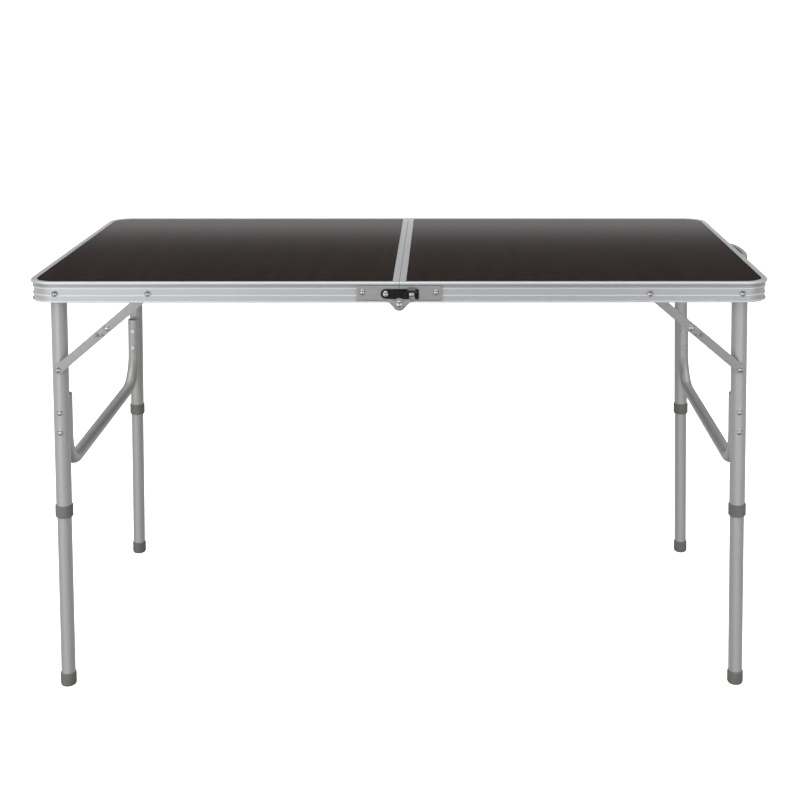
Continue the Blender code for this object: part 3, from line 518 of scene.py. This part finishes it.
def add_hook_tabs(material):
    """A small finger tab, bent outwards from the top edge of each hook above its stud, painted bright: it
    takes the light zinc sheet finish rather than the hook's black, as a painted highlight for the reflection
    off its top face.
    """
    for row_name, row in ROWS.items():
        low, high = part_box(f"{row_name}_hook")
        stud = sum(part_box(f"{row_name}_hook_stud"), Vector()) / 2
        face_y = low.y if row < 0 else high.y
        curve = [(-0.0010, -0.0012), (0.0008, -0.0010), (0.0020, 0.0002), (0.0024, 0.0018)]
        tab = bmesh.new()
        rows = []
        for x in (-TAB_WIDTH / 2, TAB_WIDTH / 2):
            rows.append([tab.verts.new((x, row * out, up)) for out, up in curve])
        for i in range(len(curve) - 1):
            tab.faces.new((rows[0][i], rows[1][i], rows[1][i + 1], rows[0][i + 1]))
        bmesh.ops.recalc_face_normals(tab, faces=tab.faces)
        bmesh.ops.solidify(tab, geom=tab.faces, thickness=0.0007)
        mesh = bpy.data.meshes.new(f"{row_name}_hook_tab")
        tab.to_mesh(mesh)
        tab.free()
        # The light sheet finish on this tab is a painted highlight: the tab is part of the black hook
        mesh.materials.append(material)
        piece = bpy.data.objects.new(f"{row_name}_hook_tab", mesh)
        bpy.context.scene.collection.objects.link(piece)
        piece.location = (stud.x, face_y, high.z)
        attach(piece, f"{row_name}_hook")


def add_handle_screws(material):
    """A pan-head screw in each foot of the carry handle."""
    low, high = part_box("carry_handle")
    foot_face = low.x + HANDLE_FOOT
    for end_name, end in (("front", -1), ("rear", 1)):
        y = (low.y if end < 0 else high.y) - end * SCREW_INSET
        profile = [(0, -0.0004), (0.0034, -0.0004), (0.0034, 0.0006), (0.0030, 0.0015), (0.0020, 0.0021),
                   (0.0013, 0.0022), (0.0008, 0.0012), (0, 0.0010)]
        turned_piece(f"{end_name}_handle_screw", profile, (foot_face, y, (low.z + high.z) / 2), (1, 0, 0),
                     material, "right_half")


# --- CAD nodes ----------------------------------------------------------------------------------


def smoothing_group(angle):
    """Geometry nodes that shade a mesh smooth except across edges sharper than the angle."""
    group = bpy.data.node_groups.new(f"smooth_{angle}", "GeometryNodeTree")
    group.interface.new_socket("Geometry", in_out="INPUT", socket_type="NodeSocketGeometry")
    group.interface.new_socket("Geometry", in_out="OUTPUT", socket_type="NodeSocketGeometry")
    source = group.nodes.new("NodeGroupInput")
    result = group.nodes.new("NodeGroupOutput")
    clear = group.nodes.new("GeometryNodeRemoveAttribute")
    clear.inputs["Name"].default_value = "custom_normal"
    faces = group.nodes.new("GeometryNodeSetShadeSmooth")
    faces.domain = "FACE"
    edges = group.nodes.new("GeometryNodeSetShadeSmooth")
    edges.domain = "EDGE"
    bend = group.nodes.new("GeometryNodeInputMeshEdgeAngle")
    test = group.nodes.new("FunctionNodeCompare")
    test.operation = "LESS_EQUAL"
    test.inputs[1].default_value = math.radians(angle)
    links = group.links
    links.new(source.outputs["Geometry"], clear.inputs["Geometry"])
    links.new(clear.outputs["Geometry"], faces.inputs["Geometry"])
    links.new(faces.outputs["Geometry"], edges.inputs["Geometry"])
    links.new(bend.outputs["Unsigned Angle"], test.inputs[0])
    links.new(test.outputs["Result"], edges.inputs["Shade Smooth"])
    links.new(edges.outputs["Geometry"], result.inputs["Geometry"])
    return group


def finish_nodes(materials):
    """Each CAD node gets its material, joined faces, softened edges and smooth round surfaces."""
    smooth = smoothing_group(32)
    endings = {
        "rim": ("rim", 0.0), "centre_rail": ("centre", 0.0002), "panel": ("board", 0.0003),
        "tube": ("tube", 0.0002), "crossbar": ("crossbar", 0.0002), "link": ("sheet", 0.0003),
        "hinge_plate": ("sheet", 0.0003), "hook": ("hook", 0.0003), "collar": ("plastic", 0.0003),
        "foot": ("plastic", 0.0004), "handle": ("handle", 0.0010),
    }
    for name, node in frame["nodes"].items():
        found = [value for ending, value in endings.items() if name.endswith(ending)]
        look, edge = found[0] if found else ("rivet", 0.0)
        for slot in node.material_slots:
            slot.material = materials[look]
        weld = node.modifiers.new("weld", "WELD")
        weld.merge_threshold = 0.00001
        if edge:
            bevel = node.modifiers.new("soft_edges", "BEVEL")
            bevel.width = edge
            bevel.segments = 2
            bevel.limit_method = "ANGLE"
            bevel.angle_limit = math.radians(40)
        shade = node.modifiers.new("smooth", "NODES")
        shade.node_group = smooth
        flat = node.modifiers.new("level_flats", "WEIGHTED_NORMAL")
        flat.keep_sharp = True
        flat.weight = 100


# --- Studio -------------------------------------------------------------------------------------


def add_camera():
    data = bpy.data.cameras.new("camera")
    data.lens = CAMERA_LENS
    data.sensor_width = 36
    data.shift_x, data.shift_y = CAMERA_SHIFT
    camera = bpy.data.objects.new("camera", data)
    bpy.context.scene.collection.objects.link(camera)
    ahead = Vector((-math.sin(CAMERA_YAW) * math.cos(CAMERA_PITCH),
                    math.cos(CAMERA_YAW) * math.cos(CAMERA_PITCH), -math.sin(CAMERA_PITCH)))
    level = Vector((math.cos(CAMERA_YAW), math.sin(CAMERA_YAW), 0))
    upright = level.cross(ahead)
    right = level * math.cos(CAMERA_ROLL) + upright * math.sin(CAMERA_ROLL)
    top = upright * math.cos(CAMERA_ROLL) - level * math.sin(CAMERA_ROLL)
    place = FLOOR_MIDDLE + CAMERA_PLACE
    camera.matrix_world = Matrix.Translation(place) @ Matrix((right, top, -ahead)).transposed().to_4x4()
    bpy.context.scene.camera = camera


def add_floor():
    """A wide pale floor, lit from below as well, so that the table's shadow on it stays faint."""
    material, shader = new_material("studio_floor", (0.9, 0.9, 0.9), 0.9)
    clouds = noise(material, (1, 1, 1), 2.0, detail=2)
    connect(material, ramp(material, clouds, [(0.3, (0.88, 0.88, 0.88)), (0.7, (0.90, 0.90, 0.90))]),
            shader.inputs["Base Color"])
    shader.inputs["Specular IOR Level"].default_value = 0.0
    shader.inputs["Emission Color"].default_value = (1, 1, 1, 1)
    shader.inputs["Emission Strength"].default_value = FLOOR_GLOW
    mesh = bpy.data.meshes.new("studio_floor")
    level = cad_low.z - 0.0002
    corners = [(turn_x * FLOOR_REACH, turn_y * FLOOR_REACH, level) for turn_x, turn_y in FLOOR_TURNS]
    mesh.from_pydata(corners, [], [(0, 1, 2, 3)])
    mesh.materials.append(material)
    floor = bpy.data.objects.new("studio_floor", mesh)
    bpy.context.scene.collection.objects.link(floor)
    floor.visible_glossy = False
    floor.visible_diffuse = False


def add_softbox(name, offset, target, size, power, mirrored):
    """A rectangular light. One that isn't mirrored lights surfaces but leaves no reflection."""
    data = bpy.data.lights.new(name, "AREA")
    data.shape = "RECTANGLE"
    data.size, data.size_y = size
    data.energy = power
    light = bpy.data.objects.new(name, data)
    bpy.context.scene.collection.objects.link(light)
    light.visible_glossy = mirrored
    light.location = FLOOR_MIDDLE + Vector(offset)
    ahead = Vector(target) - Vector(offset)
    light.rotation_euler = ahead.to_track_quat("-Z", "Y").to_euler()


def add_world():
    """White surroundings to the eye; what the metal and the board mirror has softer, darker parts."""
    world = bpy.data.worlds.new("studio")
    bpy.context.scene.world = world
    world.use_nodes = True
    nodes, links = world.node_tree.nodes, world.node_tree.links

    def band(output, stops):
        """Brightness along one axis of the direction, which runs from -1 to 1."""
        place = nodes.new("ShaderNodeMapRange")
        place.inputs["From Min"].default_value = -1.0
        links.new(output, place.inputs["Value"])
        shade = nodes.new("ShaderNodeValToRGB")
        elements = shade.color_ramp.elements
        while len(elements) < len(stops):
            elements.new(0.5)
        for element, (position, value) in zip(elements, stops):
            element.position = position
            element.color = (value, value, value, 1)
        links.new(place.outputs["Result"], shade.inputs["Fac"])
        return shade.outputs["Color"]

    def mix(factor, first, second, blend):
        node = nodes.new("ShaderNodeMix")
        node.data_type = "RGBA"
        node.blend_type = blend
        if factor is None:
            node.inputs["Factor"].default_value = 1.0
        else:
            links.new(factor, node.inputs["Factor"])
        links.new(first, node.inputs[6])
        links.new(second, node.inputs[7])
        return node.outputs[2]

    background = nodes["Background"]
    place = nodes.new("ShaderNodeTexCoord")
    split = nodes.new("ShaderNodeSeparateXYZ")
    links.new(place.outputs["Generated"], split.inputs["Vector"])
    front = band(split.outputs["Z"], WORLD_FRONT)
    across = band(split.outputs["X"], WORLD_ACROSS)
    front = mix(None, front, across, "MULTIPLY")
    back = band(split.outputs["Z"], WORLD_BACK)
    studio = mix(band(split.outputs["Y"], WORLD_DEPTH), front, back, "MIX")
    path = nodes.new("ShaderNodeLightPath")
    seen = nodes.new("ShaderNodeMix")
    seen.data_type = "RGBA"
    links.new(path.outputs["Is Camera Ray"], seen.inputs["Factor"])
    links.new(studio, seen.inputs[6])
    seen.inputs[7].default_value = (1, 1, 1, 1)
    links.new(seen.outputs[2], background.inputs["Color"])
    background.inputs["Strength"].default_value = WORLD_STRENGTH


def make_materials():
    return {
        "rim": rim_material("rim_satin_aluminium", True),
        "centre": rim_material("centre_rail_aluminium", False),
        "tube": tube_material(),
        "crossbar": crossbar_material(),
        "sheet": sheet_material(),
        "rivet": rivet_material(),
        "hook": hook_material(),
        "board": board_material(),
        "plastic": plastic_material("grey_moulded_plastic", (0.138, 0.141, 0.127),
                                    (0.165, 0.168, 0.152), 0.5),
        "handle": plastic_material("handle_plastic", (0.27, 0.29, 0.28), (0.33, 0.35, 0.34), 0.45),
    }


add_camera()
add_floor()
add_world()
for softbox in SOFTBOXES:
    add_softbox(*softbox)
materials = make_materials()
finish_nodes(materials)
add_plate_rivets(materials["rivet"])
add_cross_rivets(materials["rivet"])
# The hook's black finish also paints the shade inside each stay's hole
add_stay_rivets(materials["rivet"], materials["sheet"], materials["hook"])
add_hinge_washers(materials["sheet"])
# The sheet finish on the hook tabs paints the highlight off their top faces
add_hook_tabs(materials["sheet"])
add_handle_screws(materials["rivet"])
bpy.context.scene.view_settings.view_transform = "Standard"
